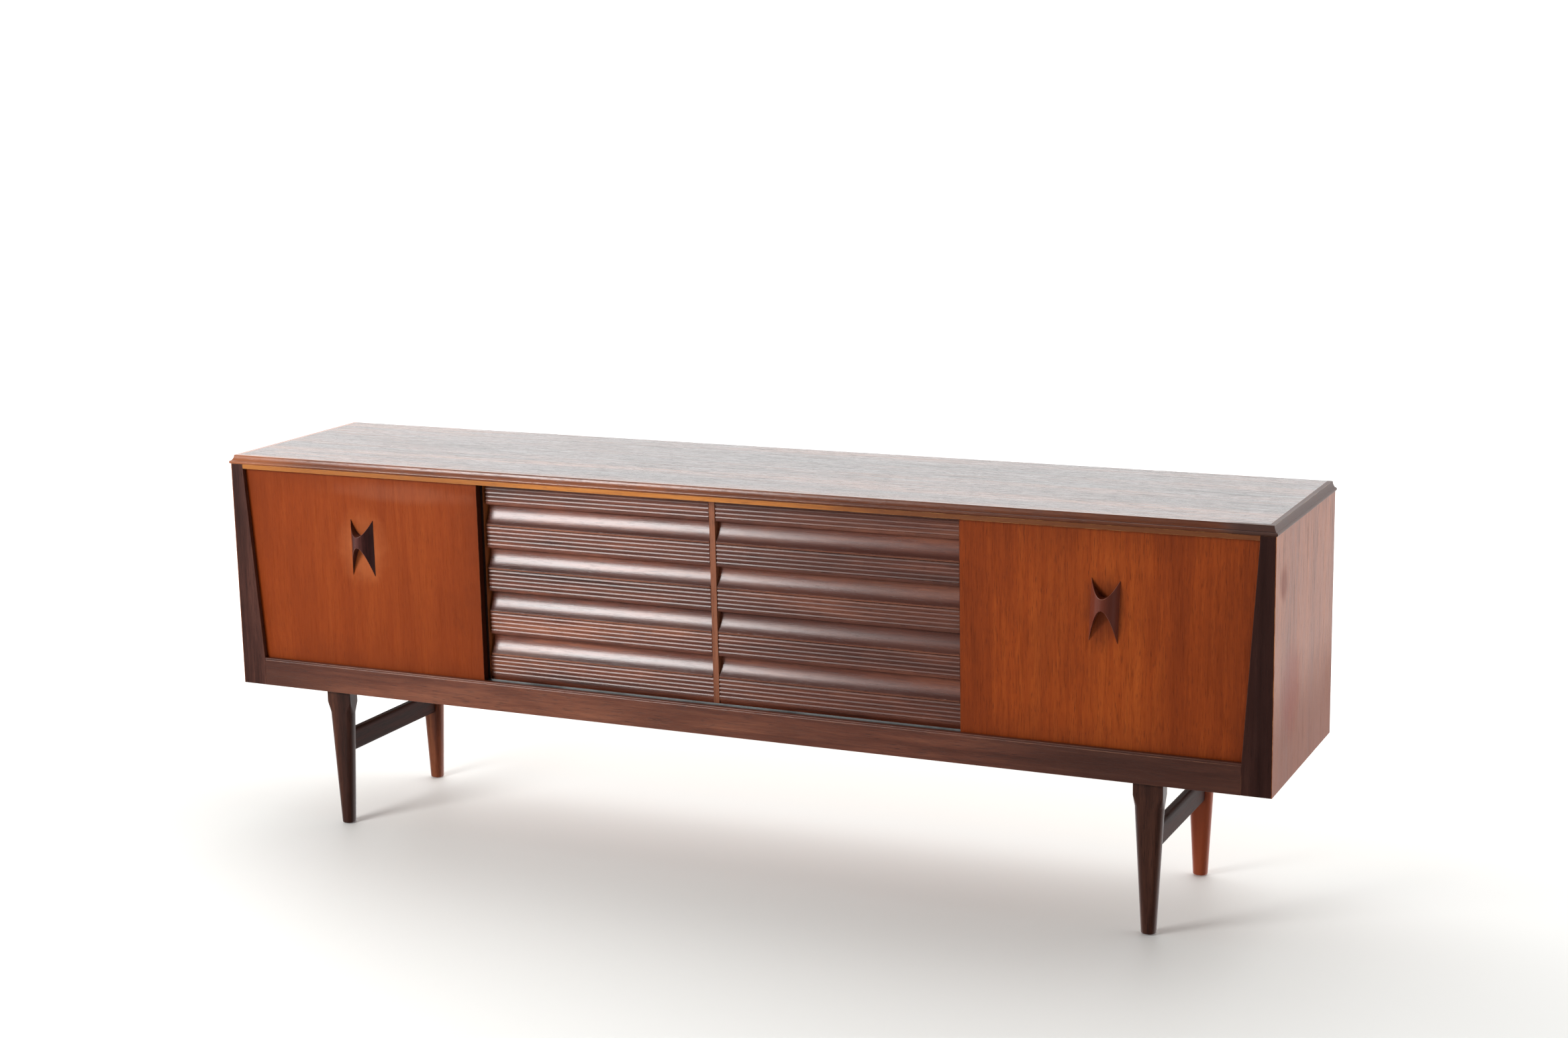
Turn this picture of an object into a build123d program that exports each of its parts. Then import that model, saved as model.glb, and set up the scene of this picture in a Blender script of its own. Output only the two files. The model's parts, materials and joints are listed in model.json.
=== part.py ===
from build123d import *
import os

# Mid-century sideboard: a long low case on two leg frames, with a bank of four
# drawers on each side of a centre divider and a sliding door over each end.
# Millimetres, +X along the length, +Y to the back, +Z up. The origin is on the
# floor under the middle of the whole object, handles included.

os.makedirs("parts", exist_ok=True)

# ---- Driving dimensions: case -------------------------------------------------
CASE_WIDTH = 2100.0
CASE_DEPTH = 421.0
CASE_BOTTOM = 276.0
TOP_Z = 742.0
TOP_THICKNESS = 17.4
PANEL = 19.0
SIDE_VENEER = 1.2
BOTTOM_PANEL = 18.0
BACK_PANEL = 6.0
BACK_INSET = 3.0
BACK_PANEL_LIFT = 2.0
STILE_DEPTH = 9.0
STILE_TOP_WIDTH = 27.0
STILE_FOOT_WIDTH = 53.0
RAIL_HEIGHT = 56.0
RAIL_DEPTH = 20.0
RAIL_LIP = 5.0
RAIL_BEAD_RADIUS = 1.7
RAIL_BEAD_BACK = 0.1
QUIRK_DEPTH = 0.9
QUIRK_HEIGHT = 0.8
FASCIA_HEIGHT = 8.6
MOULDING_WIDTH = 14.0
MOULDING_TOP_INSET = 5.0
BEAD_RADIUS = 3.3
BEAD_INSET = 0.6

# ---- Driving dimensions: doors and their tracks --------------------------------
DOOR_SETBACK = 10.5
DOOR_THICKNESS = 14.5
DOOR_INNER_EDGE = 489.5
DOOR_OUTER_EDGE = 1024.0
TRACK_WALL = 1.0
TRACK_INSIDE = 15.5
TRACK_BASE = 1.2
TRACK_HEIGHT = 4.0
DOOR_ARRIS = 0.6
DOOR_PLAY_BELOW = 0.4
DOOR_PLAY_ABOVE = 1.9
HANDLE_X = 753.5
HANDLE_FOOT_Z = 515.0
HANDLE_HEIGHT = 115.0
HANDLE_HALF_WIDTH = 26.0
HANDLE_RISE = 22.0
HANDLE_TOP_NOTCH = 32.5
HANDLE_FOOT_NOTCH = 61.5
HANDLE_CUT_SPARE = 5.0
RIGHT_HANDLE_TILT = 2.5

# ---- Driving dimensions: inside the case ---------------------------------------
PARTITION_INNER = 486.5
PARTITION = 16.0
PARTITION_SETBACK = 27.0
DIVIDER = 11.5
DIVIDER_SETBACK = 30.0
SHELF = 16.0
SHELF_Z = 520.0
SHELF_SETBACK = 34.0
SHELF_GAP = 1.0
PIN_RADIUS = 3.0
PIN_OUT = 12.0
PIN_IN = 10.0
PIN_FROM_EDGE = 60.0
SHELF_BACK_GAP = 2.0
SHELF_NOSING = 1.5

# ---- Driving dimensions: drawers -----------------------------------------------
DRAWERS_PER_BANK = 4
DRAWER_PITCH = 84.5
DRAWER_GAP = 1.4
FIRST_DRAWER_TOP = 714.9
DRAWER_OUTER = 481.8
DRAWER_INNER = 7.0
STRIP_HEIGHT = 41.0
RIDGES = 5
RIDGE_PITCH = 7.8
RIDGE_LAND = 0.5
RIDGE_STEP = 0.3
RIDGE_SLOPE = 2.5
RIDGE_SLOPE_PROUD = 0.9
RIDGE_NOSE = 0.5
RIDGE_RETURN = 0.4
RIDGE_PROUD = 1.8
PLAIN_BAND_STEP = 0.8
PLAIN_BAND_PROUD = 1.1
COVE_DEPTH = 12.5
COVE_LIP = 3.4
FRONT_THICKNESS = 20.0
BOX_SIDE = 11.0
BOX_INSET = 3.0
BOX_DEPTH = 351.0
BOX_RISE = 10.3
BOX_HEIGHT = 67.5
BOX_BACK = 9.0
BOX_BOTTOM = 4.0
BOTTOM_RISE = 6.0
RUNNER_HEIGHT = 8.0
RUNNER_RISE = 2.0
RUNNER_LAP = 8.0
RUNNER_GAP = 1.0
RUNNER_LENGTH = 343.0
APRON_THICKNESS = 20.0
APRON_FOOT_STEP = 1.2

# ---- Driving dimensions: leg frames --------------------------------------------
LEG_X = 832.0
FRONT_LEG_SETBACK = 24.0
BACK_LEG_INSET = 71.0
LEG_HEAD_WIDTH = 54.0
LEG_HEAD_DEPTH = 26.0
LEG_HEAD_HEIGHT = 24.0
LEG_HEAD_CORNER = 1.5
LEG_FLAT = 0.3
LEG_SHOULDER = 22.0
LEG_NECK_WIDTH = 52.4
LEG_NECK_DEPTH = 25.0
LEG_FOOT_WIDTH = 27.0
LEG_FOOT_DEPTH = 24.0
LEG_FOOT_ROUND = 4.0
STRETCHER_Z = 144.5
STRETCHER_HEIGHT = 45.0
STRETCHER_THICKNESS = 20.0
STRETCHER_ROUND = 7.0
BEARER_WIDTH = 60.0
BOLT_RADIUS = 4.0
BOLT_SPACING = 26.0
BOLT_LENGTH = 56.0
BOLT_END_GAP = 1.0
SCREW_RADIUS = 1.6
SCREW_HEAD_RADIUS = 4.0
SCREW_HEAD_HEIGHT = 2.2
SCREW_HEAD_ROUND = 1.5
SCREW_LENGTH = 22.0
HOLE_CLEARANCE = 0.15

# ---- Planes and edges that follow from them ------------------------------------
OVERALL_DEPTH = CASE_DEPTH + HANDLE_RISE - DOOR_SETBACK
BACK = OVERALL_DEPTH / 2
FRONT = BACK - CASE_DEPTH
HALF = CASE_WIDTH / 2
CASE_TOP = TOP_Z - TOP_THICKNESS
INSIDE = HALF - PANEL
FLOOR_TOP = CASE_BOTTOM + RAIL_HEIGHT - RAIL_LIP
FLOOR_UNDER = FLOOR_TOP - BOTTOM_PANEL
RAIL_TOP = CASE_BOTTOM + RAIL_HEIGHT
FASCIA_BOTTOM = CASE_TOP - FASCIA_HEIGHT
BACK_FACE = BACK - BACK_INSET - BACK_PANEL
TRACK_FRONT = FRONT + STILE_DEPTH
TRACK_DEPTH = TRACK_INSIDE + 2 * TRACK_WALL
DRAWER_FACE = FRONT + DIVIDER_SETBACK
DRAWER_BACK_FACE = DRAWER_FACE + FRONT_THICKNESS
APRON_TOP = FIRST_DRAWER_TOP - DRAWERS_PER_BANK * DRAWER_PITCH
SIDES = (("left", -1), ("right", 1))


def write(piece, name):
    """Label one finished piece and write its STEP file."""
    piece.label = name
    export_step(piece, f"parts/{name}.step")


def slab(x0, x1, y0, y1, z0, z1):
    """A board between two corners, added to the open part."""
    with Locations(((x0 + x1) / 2, (y0 + y1) / 2, (z0 + z1) / 2)):
        Box(x1 - x0, y1 - y0, z1 - z0)


def drawer_bottom_z(number):
    """Underside of a drawer front, counting from 1 at the top."""
    return FIRST_DRAWER_TOP - number * DRAWER_PITCH + DRAWER_GAP


def stile_edge(z):
    """Distance of a stile's inner edge from the middle: it tapers upwards."""
    share = (z - RAIL_TOP) / (CASE_TOP - RAIL_TOP)
    width = STILE_FOOT_WIDTH + (STILE_TOP_WIDTH - STILE_FOOT_WIDTH) * share
    return HALF - width


# ---- Top: veneered board with a cove-and-bead moulding on three edges -----------
def moulding_profile(plane, outer, sign):
    """Cove over bead on an upright plane, with the case face at u = outer."""
    top_corner = (outer - sign * MOULDING_TOP_INSET, TOP_Z)
    crease = (outer - sign * BEAD_INSET, CASE_TOP + 2 * BEAD_RADIUS)
    nose = (outer - sign * BEAD_INSET + sign * BEAD_RADIUS, CASE_TOP + BEAD_RADIUS)
    heel = (outer - sign * BEAD_INSET, CASE_TOP)
    back = outer - sign * MOULDING_WIDTH
    with BuildSketch(plane) as profile:
        with BuildLine():
            Line((back, TOP_Z), top_corner)
            TangentArc(top_corner, crease, tangent=(0, -1))
            ThreePointArc(crease, nose, heel)
            Line(heel, (back, CASE_TOP))
            Line((back, CASE_TOP), (back, TOP_Z))
        make_face()
    return profile.sketch


with BuildPart() as top_panel:
    slab(
        -HALF + MOULDING_WIDTH, HALF - MOULDING_WIDTH,
        FRONT + MOULDING_WIDTH, BACK,
        CASE_TOP, TOP_Z,
    )
write(top_panel.part, "top_panel")

MITRE_SPARE = 20.0
REACH = HALF + MITRE_SPARE
with BuildPart() as front_moulding:
    extrude(moulding_profile(Plane.YZ.offset(-REACH), FRONT, -1), amount=2 * REACH)
    for side, sign in SIDES:
        mitre = Plane((sign * HALF, FRONT, 0), x_dir=(0, 0, 1), z_dir=(-1, -sign, 0))
        split(bisect_by=mitre, keep=Keep.TOP if sign > 0 else Keep.BOTTOM)

end_mouldings = []
for side, sign in SIDES:
    with BuildPart() as end_moulding:
        profile = moulding_profile(Plane.XZ.offset(-BACK), sign * HALF, sign)
        extrude(profile, amount=CASE_DEPTH + MITRE_SPARE)
        mitre = Plane((sign * HALF, FRONT, 0), x_dir=(0, 0, 1), z_dir=(-1, -sign, 0))
        split(bisect_by=mitre, keep=Keep.BOTTOM if sign > 0 else Keep.TOP)
    end_mouldings.append(end_moulding.part)
edge_moulding = Compound(children=[front_moulding.part, *end_mouldings])
write(edge_moulding, "top_edge_moulding")

# ---- Case: sides, floor, back, stiles, rails ------------------------------------
for side, sign in SIDES:
    outer = sign * HALF
    inner = sign * INSIDE
    with BuildPart() as side_panel:
        slab(min(outer, inner), max(outer, inner), FRONT, BACK, CASE_BOTTOM, CASE_TOP)
        # the stile sits in a rebate behind the side veneer
        skin = sign * (HALF - SIDE_VENEER)
        with Locations(((skin + inner) / 2, FRONT + STILE_DEPTH / 2, (CASE_BOTTOM + CASE_TOP) / 2)):
            Box(abs(skin - inner), STILE_DEPTH, CASE_TOP - CASE_BOTTOM, mode=Mode.SUBTRACT)
        pin_ys = (FRONT + SHELF_SETBACK + PIN_FROM_EDGE, BACK_FACE - PIN_FROM_EDGE)
        for pin_y in pin_ys:
            with Locations((inner, pin_y, SHELF_Z - PIN_RADIUS)):
                Cylinder(PIN_RADIUS, 2 * PIN_IN, rotation=(0, 90, 0), mode=Mode.SUBTRACT)
    write(side_panel.part, f"{side}_side_panel")

    with BuildPart() as stile:
        with BuildSketch(Plane.XZ.offset(-FRONT - STILE_DEPTH)):
            with BuildLine():
                Polyline(
                    (skin, CASE_BOTTOM),
                    (sign * stile_edge(RAIL_TOP), CASE_BOTTOM),
                    (sign * stile_edge(RAIL_TOP), RAIL_TOP),
                    (sign * stile_edge(CASE_TOP), CASE_TOP),
                    (skin, CASE_TOP),
                    close=True,
                )
            make_face()
        extrude(amount=STILE_DEPTH)
    write(stile.part, f"{side}_front_stile")

SCREW_XS = (-900, -700, -300, 300, 700, 900)
SCREW_ZS = (360, 525, 690)
UPRIGHT_XS = (-PARTITION_INNER - PARTITION / 2, 0, PARTITION_INNER + PARTITION / 2)
FLOOR_SCREWS = [(x, FLOOR_TOP - BOTTOM_PANEL / 2) for x in SCREW_XS]
UPRIGHT_SCREWS = [(x, z) for x in UPRIGHT_XS for z in SCREW_ZS]


def drill_for_screws(points):
    """Bore the screws' holes, along Y, into whatever is being built."""
    for x, z in points:
        with Locations((x, BACK_FACE, z)):
            Cylinder(
                SCREW_RADIUS + HOLE_CLEARANCE, 2 * SCREW_LENGTH,
                rotation=(90, 0, 0), mode=Mode.SUBTRACT,
            )


with BuildPart() as bottom_panel:
    slab(-INSIDE, INSIDE, FRONT + RAIL_DEPTH, BACK_FACE, FLOOR_UNDER, FLOOR_TOP)
    drill_for_screws(FLOOR_SCREWS)
write(bottom_panel.part, "bottom_panel")

with BuildPart() as back_panel:
    back_foot = CASE_BOTTOM + BACK_PANEL_LIFT
    slab(-INSIDE, INSIDE, BACK_FACE, BACK_FACE + BACK_PANEL, back_foot, CASE_TOP)
    drill_for_screws(FLOOR_SCREWS + UPRIGHT_SCREWS)
write(back_panel.part, "back_panel")

screws = []
for x, z in FLOOR_SCREWS + UPRIGHT_SCREWS:
    with BuildPart() as screw:
        with BuildSketch(Plane.XZ.offset(-BACK_FACE - BACK_PANEL)):
            with Locations((x, z)):
                Circle(SCREW_RADIUS)
        extrude(amount=SCREW_LENGTH)
        with BuildSketch(Plane.XZ.offset(-BACK_FACE - BACK_PANEL)):
            with Locations((x, z)):
                Circle(SCREW_HEAD_RADIUS)
        extrude(amount=-SCREW_HEAD_HEIGHT)
        rim = screw.faces().sort_by(Axis.Y)[-1].edges()
        fillet(rim, SCREW_HEAD_ROUND)
    screws.append(screw.part)
write(Compound(children=screws), "back_panel_screws")

with BuildPart() as bottom_rail:
    # front layer between the stiles, with a bead run along its top edge
    rail_end = stile_edge(RAIL_TOP)
    quirk_face = FRONT + QUIRK_DEPTH
    bead_top = (FRONT + RAIL_BEAD_RADIUS, RAIL_TOP)
    bead_nose = (FRONT + RAIL_BEAD_BACK, RAIL_TOP - RAIL_BEAD_RADIUS)
    quirk_top = (quirk_face, RAIL_TOP - 2 * RAIL_BEAD_RADIUS)
    with BuildSketch(Plane.YZ.offset(-rail_end)):
        with BuildLine():
            Polyline(
                (FRONT, CASE_BOTTOM),
                (FRONT + STILE_DEPTH, CASE_BOTTOM),
                (FRONT + STILE_DEPTH, RAIL_TOP),
                bead_top,
            )
            ThreePointArc(bead_top, bead_nose, quirk_top)
            Polyline(
                quirk_top,
                (quirk_face, quirk_top[1] - QUIRK_HEIGHT),
                (FRONT, quirk_top[1] - 2 * QUIRK_HEIGHT),
                (FRONT, CASE_BOTTOM),
            )
        make_face()
    extrude(amount=2 * rail_end)
    # back layer laps behind the stiles and carries the track
    slab(-INSIDE, INSIDE, FRONT + STILE_DEPTH, FRONT + RAIL_DEPTH, CASE_BOTTOM, FLOOR_TOP)
write(bottom_rail.part, "bottom_front_rail")

with BuildPart() as fascia:
    with BuildSketch(Plane.XZ.offset(-FRONT - STILE_DEPTH)):
        with BuildLine():
            Polyline(
                (-stile_edge(CASE_TOP), CASE_TOP),
                (-stile_edge(FASCIA_BOTTOM), FASCIA_BOTTOM),
                (stile_edge(FASCIA_BOTTOM), FASCIA_BOTTOM),
                (stile_edge(CASE_TOP), CASE_TOP),
                close=True,
            )
        make_face()
    extrude(amount=STILE_DEPTH)
write(fascia.part, "top_front_rail")

# ---- Door tracks: aluminium channels, one facing up and one facing down ----------
for name, base_z, direction in (
    ("lower_door_track", FLOOR_TOP, 1),
    ("upper_door_track", CASE_TOP, -1),
):
    lip_z = base_z + direction * TRACK_HEIGHT
    web_z = base_z + direction * TRACK_BASE
    with BuildPart() as track:
        with BuildSketch(Plane.YZ.offset(-INSIDE)):
            with BuildLine():
                Polyline(
                    (TRACK_FRONT, base_z),
                    (TRACK_FRONT + TRACK_DEPTH, base_z),
                    (TRACK_FRONT + TRACK_DEPTH, lip_z),
                    (TRACK_FRONT + TRACK_DEPTH - TRACK_WALL, lip_z),
                    (TRACK_FRONT + TRACK_DEPTH - TRACK_WALL, web_z),
                    (TRACK_FRONT + TRACK_WALL, web_z),
                    (TRACK_FRONT + TRACK_WALL, lip_z),
                    (TRACK_FRONT, lip_z),
                    close=True,
                )
            make_face()
        extrude(amount=2 * INSIDE)
    write(track.part, name)

# ---- Uprights, shelves and shelf pins ---------------------------------------------
pins = []
for side, sign in SIDES:
    near = sign * PARTITION_INNER
    far = sign * (PARTITION_INNER + PARTITION)
    with BuildPart() as partition:
        slab(min(near, far), max(near, far), FRONT + PARTITION_SETBACK, BACK_FACE, FLOOR_TOP, CASE_TOP)
        for pin_y in pin_ys:
            with Locations((far, pin_y, SHELF_Z - PIN_RADIUS)):
                Cylinder(PIN_RADIUS, 2 * PIN_IN, rotation=(0, 90, 0), mode=Mode.SUBTRACT)
        drill_for_screws([p for p in UPRIGHT_SCREWS if p[0] * sign > 0])
    write(partition.part, f"{side}_partition")

    shelf_in = sign * (PARTITION_INNER + PARTITION + SHELF_GAP)
    shelf_out = sign * (INSIDE - SHELF_GAP)
    with BuildPart() as shelf:
        slab(
            min(shelf_in, shelf_out), max(shelf_in, shelf_out),
            FRONT + SHELF_SETBACK, BACK_FACE - SHELF_BACK_GAP, SHELF_Z, SHELF_Z + SHELF,
        )
        fillet(shelf.edges().filter_by(Axis.X).group_by(Axis.Y)[0], SHELF_NOSING)
    write(shelf.part, f"{side}_shelf")

    for wall, inward in ((sign * INSIDE, -sign), (far, sign)):
        for pin_y in pin_ys:
            with BuildPart() as pin:
                with BuildSketch(Plane.YZ.offset(wall - inward * PIN_IN)):
                    with Locations((pin_y, SHELF_Z - PIN_RADIUS)):
                        Circle(PIN_RADIUS)
                extrude(amount=inward * (PIN_IN + PIN_OUT))
            pins.append(pin.part)
write(Compound(children=pins), "shelf_pins")

with BuildPart() as divider:
    slab(-DIVIDER / 2, DIVIDER / 2, DRAWER_FACE, BACK_FACE, FLOOR_TOP, CASE_TOP)
    drill_for_screws([p for p in UPRIGHT_SCREWS if p[0] == 0])
write(divider.part, "centre_divider")


# ---- Drawers ------------------------------------------------------------------------
def reeded_outline(top):
    """Front of a reeded strip from its top edge down: sloping ridges with flat bands between."""
    band = DRAWER_FACE + RIDGE_PROUD
    points = [(band, top)]
    for ridge in range(RIDGES):
        ridge_top = top - RIDGE_LAND - ridge * RIDGE_PITCH
        slope_top = ridge_top - RIDGE_STEP
        nose_top = slope_top - RIDGE_SLOPE
        nose_foot = nose_top - RIDGE_NOSE
        ridge_foot = nose_foot - RIDGE_RETURN
        points.append((band, ridge_top))
        points.append((DRAWER_FACE + RIDGE_SLOPE_PROUD, slope_top))
        points.append((DRAWER_FACE, nose_top))
        points.append((DRAWER_FACE, nose_foot))
        points.append((band, ridge_foot))
    # the plain band under the last ridge stands almost as far out as the ridges
    plain_face = band - PLAIN_BAND_PROUD
    points.append((plain_face, ridge_foot - PLAIN_BAND_STEP))
    points.append((plain_face, top - STRIP_HEIGHT))
    return points


def drawer_front_profile(plane, top):
    """Section of a drawer front: reeded strip over a cove that ends in a thin lip."""
    bottom = top - DRAWER_PITCH + DRAWER_GAP
    outline = reeded_outline(top)
    strip_foot = outline[-1]
    cove_top = (DRAWER_FACE + COVE_DEPTH, top - STRIP_HEIGHT)
    lip_top = (DRAWER_FACE, bottom + COVE_LIP)
    with BuildSketch(plane) as profile:
        with BuildLine():
            Polyline(*outline)
            Line(strip_foot, cove_top)
            TangentArc(cove_top, lip_top, tangent=(0, -1))
            Polyline(
                lip_top,
                (DRAWER_FACE, bottom),
                (DRAWER_BACK_FACE, bottom),
                (DRAWER_BACK_FACE, top),
                outline[0],
            )
        make_face()
    return profile.sketch


for side, sign in SIDES:
    front_x0 = min(sign * DRAWER_INNER, sign * DRAWER_OUTER)
    front_x1 = max(sign * DRAWER_INNER, sign * DRAWER_OUTER)
    box_x0 = front_x0 + BOX_INSET
    box_x1 = front_x1 - BOX_INSET
    runners = []
    for number in range(1, DRAWERS_PER_BANK + 1):
        foot = drawer_bottom_z(number)
        name = f"{side}_drawer_{number}"
        top = FIRST_DRAWER_TOP - (number - 1) * DRAWER_PITCH
        with BuildPart() as drawer_front:
            extrude(drawer_front_profile(Plane.YZ.offset(front_x0), top), amount=front_x1 - front_x0)
        write(drawer_front.part, f"{name}_front")

        box_foot = foot + BOX_RISE
        box_back = DRAWER_BACK_FACE + BOX_DEPTH
        boards = []
        for x0, x1, y0 in (
            (box_x0, box_x0 + BOX_SIDE, DRAWER_BACK_FACE),
            (box_x1 - BOX_SIDE, box_x1, DRAWER_BACK_FACE),
            (box_x0 + BOX_SIDE, box_x1 - BOX_SIDE, box_back - BOX_BACK),
        ):
            with BuildPart() as board:
                slab(x0, x1, y0, box_back, box_foot, box_foot + BOX_HEIGHT)
            boards.append(board.part)
        write(Compound(children=boards), f"{name}_box")

        with BuildPart() as drawer_bottom:
            slab(
                box_x0 + BOX_SIDE, box_x1 - BOX_SIDE,
                DRAWER_BACK_FACE, box_back - BOX_BACK,
                box_foot + BOTTOM_RISE, box_foot + BOTTOM_RISE + BOX_BOTTOM,
            )
        write(drawer_bottom.part, f"{name}_bottom")

        runner_z = foot + RUNNER_RISE
        runner_front = DRAWER_BACK_FACE + RUNNER_GAP
        outer_wall = sign * PARTITION_INNER
        inner_wall = sign * DIVIDER / 2
        outer_tip = sign * (DRAWER_OUTER - BOX_INSET - RUNNER_LAP)
        inner_tip = sign * (DRAWER_INNER + BOX_INSET + RUNNER_LAP)
        for wall, tip in ((outer_wall, outer_tip), (inner_wall, inner_tip)):
            with BuildPart() as runner:
                slab(
                    min(wall, tip), max(wall, tip),
                    runner_front, runner_front + RUNNER_LENGTH,
                    runner_z, runner_z + RUNNER_HEIGHT,
                )
            runners.append(runner.part)
    write(Compound(children=runners), f"{side}_drawer_runners")

    # fixed apron under the bottom drawer: one more reeded strip on a plain foot
    apron_foot = APRON_TOP - STRIP_HEIGHT
    apron_near = sign * DIVIDER / 2
    apron_far = sign * PARTITION_INNER
    with BuildPart() as apron:
        with BuildSketch(Plane.YZ.offset(min(apron_near, apron_far))):
            outline = reeded_outline(APRON_TOP)
            with BuildLine():
                Polyline(
                    *outline,
                    (DRAWER_FACE + RIDGE_PROUD, apron_foot - APRON_FOOT_STEP),
                    (DRAWER_FACE + RIDGE_PROUD, FLOOR_TOP),
                    (DRAWER_FACE + APRON_THICKNESS, FLOOR_TOP),
                    (DRAWER_FACE + APRON_THICKNESS, APRON_TOP),
                    outline[0],
                )
            make_face()
        extrude(amount=abs(apron_far - apron_near))
    write(apron.part, f"{side}_apron")


# ---- Doors and handles --------------------------------------------------------------
DOOR_FACE = FRONT + DOOR_SETBACK
DOOR_FOOT = FLOOR_TOP + TRACK_BASE + DOOR_PLAY_BELOW
DOOR_HEAD = CASE_TOP - TRACK_BASE - DOOR_PLAY_ABOVE
HANDLE_MIDDLE_Z = HANDLE_FOOT_Z + HANDLE_HEIGHT / 2

for side, sign in SIDES:
    edge_a = sign * DOOR_INNER_EDGE
    edge_b = sign * DOOR_OUTER_EDGE
    with BuildPart() as door:
        slab(
            min(edge_a, edge_b), max(edge_a, edge_b),
            DOOR_FACE, DOOR_FACE + DOOR_THICKNESS, DOOR_FOOT, DOOR_HEAD,
        )
        chamfer(door.edges().filter_by(Axis.Z), DOOR_ARRIS)
    write(door.part, f"{side}_door")

    # butterfly handle: an arched block with a curved notch cut from each end
    w = HANDLE_HALF_WIDTH
    h = HANDLE_HEIGHT / 2
    spare = HANDLE_CUT_SPARE
    tilt = RIGHT_HANDLE_TILT if sign > 0 else 0.0
    with BuildPart() as block:
        with BuildSketch(Plane.XY.offset(-h)):
            with BuildLine():
                Bezier((-w, 0), (0, -2 * HANDLE_RISE), (w, 0))
                Line((w, 0), (-w, 0))
            make_face()
        extrude(amount=2 * h)
        with BuildSketch(Plane.XZ):
            with BuildLine():
                Bezier((-w, h), (0, h - 2 * HANDLE_TOP_NOTCH), (w, h))
                Polyline((w, h), (w, h + spare), (-w, h + spare), (-w, h))
            make_face()
            with BuildLine():
                Bezier((-w, -h), (0, -h + 2 * HANDLE_FOOT_NOTCH), (w, -h))
                Polyline((w, -h), (w, -h - spare), (-w, -h - spare), (-w, -h))
            make_face()
        extrude(amount=HANDLE_RISE + spare, both=True, mode=Mode.SUBTRACT)
    handle = block.part.rotate(Axis.Y, tilt)
    handle = handle.translate((sign * HANDLE_X, DOOR_FACE, HANDLE_MIDDLE_Z))
    write(handle, f"{side}_door_handle")


# ---- Leg frames ------------------------------------------------------------------------
def leg_section(z, width, depth, corner):
    """One rounded section of the leg, centred on its own axis."""
    with BuildSketch(Plane.XY.offset(z)) as section:
        RectangleRounded(width, depth, corner)
    return section.sketch


def bolt_places(x, y):
    """Centres of the two bolts that cross the joint at a leg's head."""
    return [(x + dx, y, CASE_BOTTOM) for dx in (-BOLT_SPACING / 2, BOLT_SPACING / 2)]


def bolt_holes(x, y):
    """Bore the bolt holes of the leg at x, y into whatever is being built."""
    with Locations(*bolt_places(x, y)):
        Cylinder(BOLT_RADIUS + HOLE_CLEARANCE, BOLT_LENGTH, mode=Mode.SUBTRACT)


HEAD_FOOT = CASE_BOTTOM - LEG_HEAD_HEIGHT
NECK_Z = HEAD_FOOT - LEG_SHOULDER
LEG_YS = (("front", FRONT + FRONT_LEG_SETBACK), ("back", BACK - BACK_LEG_INSET))

head = leg_section(HEAD_FOOT, LEG_HEAD_WIDTH, LEG_HEAD_DEPTH, LEG_HEAD_CORNER)
neck = leg_section(NECK_Z, LEG_NECK_WIDTH, LEG_NECK_DEPTH, LEG_NECK_DEPTH / 2 - LEG_FLAT)
foot = leg_section(0, LEG_FOOT_WIDTH, LEG_FOOT_DEPTH, LEG_FOOT_DEPTH / 2 - LEG_FLAT)
with BuildPart() as leg_blank:
    extrude(head, amount=LEG_HEAD_HEIGHT)
    loft([neck, head])
    loft([foot, neck])
    fillet(leg_blank.faces().sort_by(Axis.Z)[0].edges(), LEG_FOOT_ROUND)
    bolt_holes(0, 0)

bolts = []
for side, sign in SIDES:
    legs = []
    for place, leg_y in LEG_YS:
        leg = leg_blank.part.translate((sign * LEG_X, leg_y, 0))
        write(leg, f"{side}_{place}_leg")
        legs.append(leg)
        for place_on_leg in bolt_places(sign * LEG_X, leg_y):
            with BuildPart() as bolt:
                with Locations(place_on_leg):
                    Cylinder(BOLT_RADIUS, BOLT_LENGTH - BOLT_END_GAP)
            bolts.append(bolt.part)

    with BuildPart() as stretcher:
        with BuildSketch(Plane.XZ.offset(-LEG_YS[1][1])):
            with Locations((sign * LEG_X, STRETCHER_Z + STRETCHER_HEIGHT / 2)):
                RectangleRounded(STRETCHER_THICKNESS, STRETCHER_HEIGHT, STRETCHER_ROUND)
        extrude(amount=LEG_YS[1][1] - LEG_YS[0][1])
        for leg in legs:
            add(leg, mode=Mode.SUBTRACT)
    write(stretcher.part, f"{side}_stretcher")

    with BuildPart() as bearer:
        slab(
            sign * LEG_X - BEARER_WIDTH / 2, sign * LEG_X + BEARER_WIDTH / 2,
            FRONT + RAIL_DEPTH, BACK_FACE, CASE_BOTTOM, FLOOR_UNDER,
        )
        for place, leg_y in LEG_YS:
            bolt_holes(sign * LEG_X, leg_y)
    write(bearer.part, f"{side}_leg_bearer")
write(Compound(children=bolts), "leg_bolts")
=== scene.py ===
"""Looks for a long low sideboard with two sliding doors and two banks of reeded drawers."""
import bmesh
import bpy
import json
import math
from mathutils import Matrix, Vector

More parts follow.
